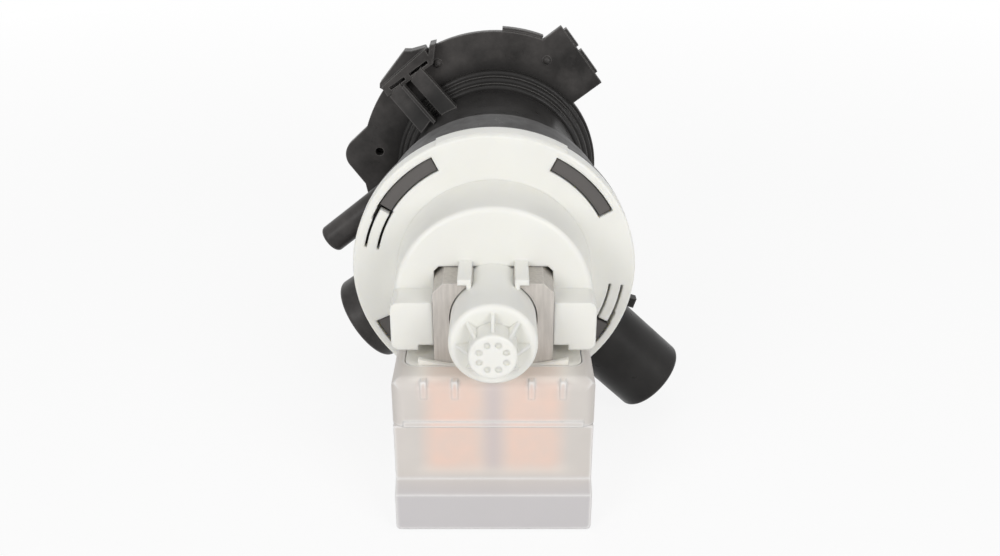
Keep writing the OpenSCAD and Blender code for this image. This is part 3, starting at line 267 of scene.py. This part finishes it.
def housing_plastic(name, dark, light, rough):
    """Black moulding with a dusty bloom, left off the neck and the volute as painted shade, with a
    painted highlight on its edges, and rubbed pale on the bayonet tongues.
    """
    material = moulded(name, dark, light, rough)
    tree = material.node_tree
    shader = tree.nodes["Principled BSDF"]
    colour = shader.inputs["Base Color"].links[0].from_socket
    gloss = shader.inputs["Roughness"].links[0].from_socket
    # Dust bloom, with its share cut on the neck and the volute as painted shade
    bloom = product(tree, remap(tree, noise(tree, *BLOOM_NOISE), *BLOOM_SHARE), bloom_share_painted_shade(tree))
    rubbed = remap(tree, axes(tree, coordinates(tree))["Y"], *TONGUE_RUBBED)
    colour = blend(tree, bloom, colour, BLOOM_TONE)
    # Painted highlight along the edges
    colour = blend(tree, edge_mask(tree, *EDGE_HIGHLIGHT), colour, EDGE_HIGHLIGHT_TONE)
    colour = blend(tree, rubbed, colour, TONGUE_TONE)
    feed(tree, shader, {
        "Base Color": colour,
        "Roughness": calc(tree, "MULTIPLY_ADD", rubbed, TONGUE_DULL, gloss),
        "Specular IOR Level": HOUSING_SPECULAR,
    })
    return material


# Bare metal. A relief gives strength, depth and edge radius
MARKS_DETAIL = 4
METAL_MARKS = (600, 600, 600)
METAL_RELIEF = (0.15, 0.05 * MM, 0.2 * MM)


def drawn_marks(tree, scale):
    """Noise with its own scale along each axis."""
    stretch = add(tree, "ShaderNodeMapping", {"Vector": coordinates(tree), "Scale": scale})
    feeds = {"Vector": stretch.outputs["Vector"], "Scale": 1, "Detail": MARKS_DETAIL}
    return add(tree, "ShaderNodeTexNoise", feeds).outputs["Fac"]


def metal(name, dark, light, rough):
    """Bare metal with fine drawn marks."""
    material, tree, shader = new_material(name)
    marks = drawn_marks(tree, METAL_MARKS)
    feed(tree, shader, {
        "Base Color": two_tone(tree, marks, dark, light),
        "Roughness": remap(tree, marks, *rough),
        "Normal": relief(tree, marks, *METAL_RELIEF),
        "Metallic": 1,
    })
    return material


# Lamination stack
SHEET_PITCH = 0.5 * MM
SHEET_LINES = 0.35
SHEET_ROUGH = (0.42, 0.6)
SHEET_RELIEF = (0.35, 0.08 * MM, 0.25 * MM)
SHEET_METALLIC = 0.35
MOTTLE_NOISE = (900, 4)
MOTTLE_SHARE = (0.1, 0.75)
FACE_DARK = (0.53, 0.495, 0.46)
FACE_LIGHT = (0.645, 0.605, 0.565)
FACE_MARKS = (1100, 1100, 130)
FACE_SHARE = (0, 0.85, 0.6, 0.9)
# Bright cut corners: a painted highlight along the stack's edges
CUT_HIGHLIGHT_TONE = (0.74, 0.71, 0.68)
CUT_HIGHLIGHT = (0.35 * MM, 0.7)


def laminated(name, dark, light):
    """Stack of sheets: lines on its edges, rolled metal on its end faces, and a painted highlight
    on its cut corners.
    """
    material, tree, shader = new_material(name)
    phase = product(tree, axes(tree, coordinates(tree))["Y"], 2 * math.pi / SHEET_PITCH)
    sheets = remap(tree, calc(tree, "SINE", phase), 0, 1, -1, 1)
    mottle = noise(tree, *MOTTLE_NOISE)
    both = calc(tree, "MULTIPLY_ADD", sheets, SHEET_LINES, remap(tree, mottle, *MOTTLE_SHARE))
    facing = axes(tree, add(tree, "ShaderNodeNewGeometry").outputs["Normal"])["Y"]
    end_face = remap(tree, calc(tree, "ABSOLUTE", facing), *FACE_SHARE)
    rolled = two_tone(tree, drawn_marks(tree, FACE_MARKS), FACE_DARK, FACE_LIGHT)
    colour = two_tone(tree, both, dark, light)
    colour = blend(tree, end_face, colour, rolled)
    # Painted highlight on the cut corners
    colour = blend(tree, edge_mask(tree, *CUT_HIGHLIGHT), colour, CUT_HIGHLIGHT_TONE)
    feed(tree, shader, {
        "Base Color": colour,
        "Roughness": remap(tree, mottle, *SHEET_ROUGH),
        "Normal": relief(tree, sheets, *SHEET_RELIEF),
        "Metallic": SHEET_METALLIC,
    })
    return material


# Milky coil case: noises, surface, the patches of what lies behind its walls, and a painted
# highlight on its rims
CASE_TONE_NOISE = (60, 3)
CASE_GLOSS_NOISE = (240, 4)
CASE_GRAIN_NOISE = (1800, 2)
CASE_RELIEF = (0.06, 0.06 * MM, 0.8 * MM)
CASE_TRANSMISSION = 0.1
CASE_IOR = 1.25
COIL_TONE = (0.91, 0.69, 0.59)
COIL_CLOUD_NOISE = (110, 3)
COIL_CLOUDS = (0.65, 1.0)
COIL_RAISE = 2.5 * MM
COIL_INWARD = 1.4 * MM
COIL_TRIM = 1.7 * MM
COIL_SOFT = 3.5 * MM
GAP_TONE = (0.70, 0.62, 0.60)
GAP_HALF = 2.9 * MM
GAP_SOFT = 2.6 * MM
PLATE_TONE = (0.87, 0.81, 0.75)
PLATE_SHARE = 0.7
PLATE_RAISE = 4.5 * MM
PLATE_HALF = 1.5 * MM
PLATE_SOFT = 2.5 * MM
PLATE_TRIM = 1 * MM
SIDE_SOFT = 4 * MM
YOKE_TONE = (0.645, 0.625, 0.63)
YOKE_FADE = (-2 * MM, 2.5 * MM)
LID_TONE = (0.97, 0.94, 0.88)
LID_FADE = (-1.5 * MM, -0.5 * MM)
# Paler rims: a painted highlight along the case's edges and ribs
RIM_HIGHLIGHT_TONE = (0.97, 0.955, 0.945)
RIM_HIGHLIGHT = (1.7 * MM, 0.95)


def patches(tree):
    """Share and tone of each patch on the case: yoke, lid, former's foot, gap, coils, and the rims'
    painted highlight.
    """
    x, _, height = axes(tree, coordinates(tree))
    side = calc(tree, "ABSOLUTE", x)
    low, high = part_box("winding_wire_right")
    middle, half = (low + high) / 2, (high - low) / 2
    reach = abs(middle.x) + half.x
    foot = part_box("coil_former")[0].z
    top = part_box("coil_cover")[1].z
    coil_level = near_middle(tree, height, middle.z + COIL_RAISE, half.z, COIL_SOFT)
    coil_side = near_middle(tree, side, abs(middle.x) - COIL_INWARD, half.x - COIL_TRIM, COIL_SOFT)
    clouds = remap(tree, noise(tree, *COIL_CLOUD_NOISE), *COIL_CLOUDS)
    gap_side = near_middle(tree, side, 0, GAP_HALF, GAP_SOFT)
    plate_level = near_middle(tree, height, foot + PLATE_RAISE, PLATE_HALF, PLATE_SOFT)
    plate_side = near_middle(tree, side, 0, reach - PLATE_TRIM, SIDE_SOFT)
    lid_level = remap(tree, height, 0, 1, top + LID_FADE[0], top + LID_FADE[1])
    lid_side = near_middle(tree, side, 0, reach, SIDE_SOFT)
    return [
        (remap(tree, height, 1, 0, foot + YOKE_FADE[0], foot + YOKE_FADE[1]), YOKE_TONE),
        (product(tree, lid_side, lid_level), LID_TONE),
        (product(tree, plate_side, plate_level, PLATE_SHARE), PLATE_TONE),
        (product(tree, gap_side, coil_level), GAP_TONE),
        (product(tree, coil_side, coil_level, clouds), COIL_TONE),
        # Painted highlight on the rims
        (edge_mask(tree, *RIM_HIGHLIGHT), RIM_HIGHLIGHT_TONE),
    ]


def milky(name, dark, light, rough):
    """Milky plastic: coils, coil former and yoke behind its walls show as soft patches."""
    material, tree, shader = new_material(name)
    colour = two_tone(tree, noise(tree, *CASE_TONE_NOISE), dark, light)
    for share, tone in patches(tree):
        colour = blend(tree, share, colour, tone)
    feed(tree, shader, {
        "Base Color": colour,
        "Roughness": remap(tree, noise(tree, *CASE_GLOSS_NOISE), *rough),
        "Normal": relief(tree, noise(tree, *CASE_GRAIN_NOISE), *CASE_RELIEF),
        "Transmission Weight": CASE_TRANSMISSION,
        "IOR": CASE_IOR,
    })
    return material


# Enamelled wire
WIRE_TONE_NOISE = (420, 3)
WIRE_GLOSS_NOISE = (1500, 3)
WIRE_METALLIC = 0.25


def enamelled(name, dark, light, rough):
    """Enamelled copper wire."""
    material, tree, shader = new_material(name)
    feed(tree, shader, {
        "Base Color": two_tone(tree, noise(tree, *WIRE_TONE_NOISE), dark, light),
        "Roughness": remap(tree, noise(tree, *WIRE_GLOSS_NOISE), *rough),
        "Metallic": WIRE_METALLIC,
    })
    return material


# Dark tone, light tone and roughness of each of the record's material slots
MATERIALS = {
    "black_plastic": housing_plastic(
        "black_plastic", (0.016, 0.0153, 0.0148), (0.032, 0.0306, 0.0297), (0.26, 0.42)),
    "white_plastic": moulded(
        "white_plastic", (0.84, 0.835, 0.79), (0.87, 0.865, 0.82), (0.34, 0.48), edge=0.9, depth=2),
    "rubber": moulded(
        "rubber", (0.012, 0.012, 0.012), (0.02, 0.02, 0.02), (0.65, 0.85), grain=0.2),
    "lamination": laminated(
        "lamination", (0.41, 0.385, 0.355), (0.53, 0.50, 0.46)),
    "rivet_steel": metal(
        "rivet_steel", (0.40, 0.39, 0.38), (0.52, 0.51, 0.50), (0.35, 0.55)),
    "cream_plastic": moulded(
        "cream_plastic", (0.93, 0.905, 0.83), (0.95, 0.925, 0.86), (0.4, 0.55), depth=2),
    "copper_wire": enamelled(
        "copper_wire", (0.62, 0.22, 0.08), (0.86, 0.37, 0.17), (0.25, 0.45)),
    "milky_plastic": milky(
        "milky_plastic", (0.70, 0.66, 0.62), (0.745, 0.70, 0.66), (0.3, 0.42)),
    "tinned_brass": metal(
        "tinned_brass", (0.62, 0.60, 0.53), (0.74, 0.72, 0.65), (0.25, 0.4)),
    "fuse_body": moulded(
        "fuse_body", (0.70, 0.66, 0.57), (0.78, 0.74, 0.65), (0.3, 0.45)),
    "ferrite": moulded(
        "ferrite", (0.03, 0.03, 0.033), (0.05, 0.05, 0.055), (0.45, 0.65), grain=0.3),
    "shaft_steel": metal(
        "shaft_steel", (0.55, 0.55, 0.57), (0.68, 0.68, 0.70), (0.15, 0.3)),
    "bearing_bronze": metal(
        "bearing_bronze", (0.38, 0.25, 0.10), (0.5, 0.33, 0.15), (0.35, 0.55)),
    "wheel_plastic": moulded(
        "wheel_plastic", (0.03, 0.03, 0.029), (0.045, 0.045, 0.043), (0.38, 0.5)),
    "filter_plastic": moulded(
        "filter_plastic", (0.62, 0.62, 0.59), (0.68, 0.68, 0.65), (0.36, 0.5)),
}
SMOOTH_ANGLE = math.radians(32)


def dress_nodes():
    slots = {s["node"]: s["material_slot"] for s in frame["record"]["subparts"]}
    for name, piece in nodes.items():
        piece.data.materials.clear()
        piece.data.materials.append(MATERIALS[slots[name]])
        piece.data.shade_smooth()
        piece.data.set_sharp_from_angle(angle=SMOOTH_ANGLE)


# Wound coils: a core under one layer of fine wire, in the box of the CAD coil
FINE_WIRE_R = 0.27 * MM
FINE_GAP = 0.02 * MM
FINE_PITCH = 2 * FINE_WIRE_R + FINE_GAP
WIRE_SIDES = 6
COIL_CORNER = 4.2 * MM
CORNER_POINTS = 7
COIL_SMOOTH_ANGLE = math.radians(70)
UP = Vector((0, 0, 1))


def turn_plan(low, high):
    """One turn in plan, anticlockwise: the centre of a corner's bend and the way out from it."""
    left, right = low.x + COIL_CORNER, high.x - COIL_CORNER
    near, far = low.y + COIL_CORNER, high.y - COIL_CORNER
    plan = []
    for x, y, start in ((right, far, 0), (left, far, 90), (left, near, 180), (right, near, 270)):
        for i in range(CORNER_POINTS):
            angle = math.radians(start + 90 * i / (CORNER_POINTS - 1))
            plan.append((Vector((x, y, 0)), Vector((math.cos(angle), math.sin(angle), 0))))
    return plan


def wind(mesh, plan, bottom, top):
    """Fine wire wound as one closed tube, turn over turn."""
    turns = int((top - bottom - 2 * FINE_WIRE_R) / FINE_PITCH)
    rings = []
    for turn in range(turns):
        for i, (bend, outward) in enumerate(plan):
            height = bottom + FINE_WIRE_R + FINE_PITCH * (turn + i / len(plan))
            middle = bend + outward * (COIL_CORNER - FINE_WIRE_R) + UP * height
            ring = []
            for side in range(WIRE_SIDES):
                around = 2 * math.pi * side / WIRE_SIDES
                offset = outward * math.cos(around) + UP * math.sin(around)
                ring.append(mesh.verts.new(middle + offset * FINE_WIRE_R))
            rings.append(ring)
    for first, second in zip(rings, rings[1:]):
        for side in range(WIRE_SIDES):
            after = (side + 1) % WIRE_SIDES
            mesh.faces.new((first[side], second[side], second[after], first[after]))
    mesh.faces.new(list(reversed(rings[0])))
    mesh.faces.new(rings[-1])


def fill(mesh, plan, bottom, top):
    """Core that the wire lies on."""
    outline = [bend + outward * (COIL_CORNER - 2 * FINE_WIRE_R) for bend, outward in plan]
    foot = [mesh.verts.new(p + UP * bottom) for p in outline]
    head = [mesh.verts.new(p + UP * top) for p in outline]
    for i in range(len(outline)):
        j = (i + 1) % len(outline)
        mesh.faces.new((foot[i], foot[j], head[j], head[i]))
    mesh.faces.new(list(reversed(foot)))
    mesh.faces.new(head)


def make_coil(name, wire_node, core_node):
    plan = turn_plan(*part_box(wire_node))
    core_low, core_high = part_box(core_node)
    mesh = bmesh.new()
    wind(mesh, plan, core_low.z, core_high.z)
    fill(mesh, plan, core_low.z, core_high.z)
    bmesh.ops.recalc_face_normals(mesh, faces=mesh.faces)
    data = bpy.data.meshes.new(name)
    mesh.to_mesh(data)
    mesh.free()
    data.shade_smooth()
    data.set_sharp_from_angle(angle=COIL_SMOOTH_ANGLE)
    data.materials.append(MATERIALS["copper_wire"])
    coil = bpy.data.objects.new(name, data)
    scene.collection.objects.link(coil)
    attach(coil, "pump")
    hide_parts(wire_node, core_node)


# Studio: white floor and world, with soft boxes at the front's two sides, above and behind
WHITE = (1, 1, 1, 1)
FLOOR_TONE = (0.9, 0.9, 0.9, 1)
FLOOR_HALF = 4.0
FLOOR_DROP = 0.5 * MM
# Share of the floor's own light, which keeps the shadow, and the distances where it fades out
FLOOR_LIT = 0.12
SHADOW_FADE = (0.25, 0.9)
WORLD_LIGHT = 0.3
LAMP_TARGET = Vector((0, -0.08, 0))
# Place, side and power of each soft box, and whether mirrors show it
LAMPS = {
    "left_box": ((-0.7, -1.0, 0.55), 0.6, 6.0, True),
    "right_box": ((0.7, -1.0, 0.55), 0.6, 6.0, True),
    "top_box": ((0, 0.1, 1.15), 0.7, 1.4, True),
    "back_box": ((0, 1.2, 0.5), 0.8, 4.0, False),
}


def white_to_camera(tree, lit, white, *shares):
    """Shows plain white to the camera, mirrors and glass, or a share of it that keeps a shadow."""
    path = add(tree, "ShaderNodeLightPath").outputs
    seen = calc(tree, "MAXIMUM", path["Is Camera Ray"], path["Is Glossy Ray"])
    seen = calc(tree, "MAXIMUM", seen, path["Is Transmission Ray"])
    feeds = {0: product(tree, seen, *shares), 1: lit.outputs[0], 2: white.outputs[0]}
    return add(tree, "ShaderNodeMixShader", feeds).outputs[0]


def make_floor():
    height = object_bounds()[0][2] - FLOOR_DROP
    signs = ((-1, -1), (1, -1), (1, 1), (-1, 1))
    corners = [(x * FLOOR_HALF, y * FLOOR_HALF, height) for x, y in signs]
    data = bpy.data.meshes.new("floor")
    data.from_pydata(corners, [], [(0, 1, 2, 3)])
    floor = bpy.data.objects.new("floor", data)
    scene.collection.objects.link(floor)
    material = bpy.data.materials.new("floor")
    tree = empty_tree(material)
    lit = add(tree, "ShaderNodeBsdfDiffuse", {"Color": FLOOR_TONE})
    white = add(tree, "ShaderNodeEmission", {"Color": WHITE, "Strength": 1})
    share = remap(tree, length(tree, coordinates(tree)), 1 - FLOOR_LIT, 1, *SHADOW_FADE)
    surface = white_to_camera(tree, lit, white, share)
    add(tree, "ShaderNodeOutputMaterial", {"Surface": surface})
    data.materials.append(material)


def make_world():
    world = bpy.data.worlds.new("studio")
    scene.world = world
    tree = empty_tree(world)
    lit = add(tree, "ShaderNodeBackground", {"Color": WHITE, "Strength": WORLD_LIGHT})
    white = add(tree, "ShaderNodeBackground", {"Color": WHITE, "Strength": 1})
    add(tree, "ShaderNodeOutputWorld", {"Surface": white_to_camera(tree, lit, white)})


def make_lamps():
    for name, (place, side, power, in_mirrors) in LAMPS.items():
        data = bpy.data.lights.new(name, "AREA")
        data.shape = "SQUARE"
        data.size = side
        data.energy = power
        lamp = bpy.data.objects.new(name, data)
        lamp.location = place
        lamp.rotation_euler = (LAMP_TARGET - Vector(place)).to_track_quat("-Z", "Y").to_euler()
        lamp.visible_glossy = in_mirrors
        scene.collection.objects.link(lamp)


make_camera()
make_world()
make_floor()
make_lamps()
dress_nodes()
make_coil("coil_left", "winding_wire_left", "winding_left")
make_coil("coil_right", "winding_wire_right", "winding_right")
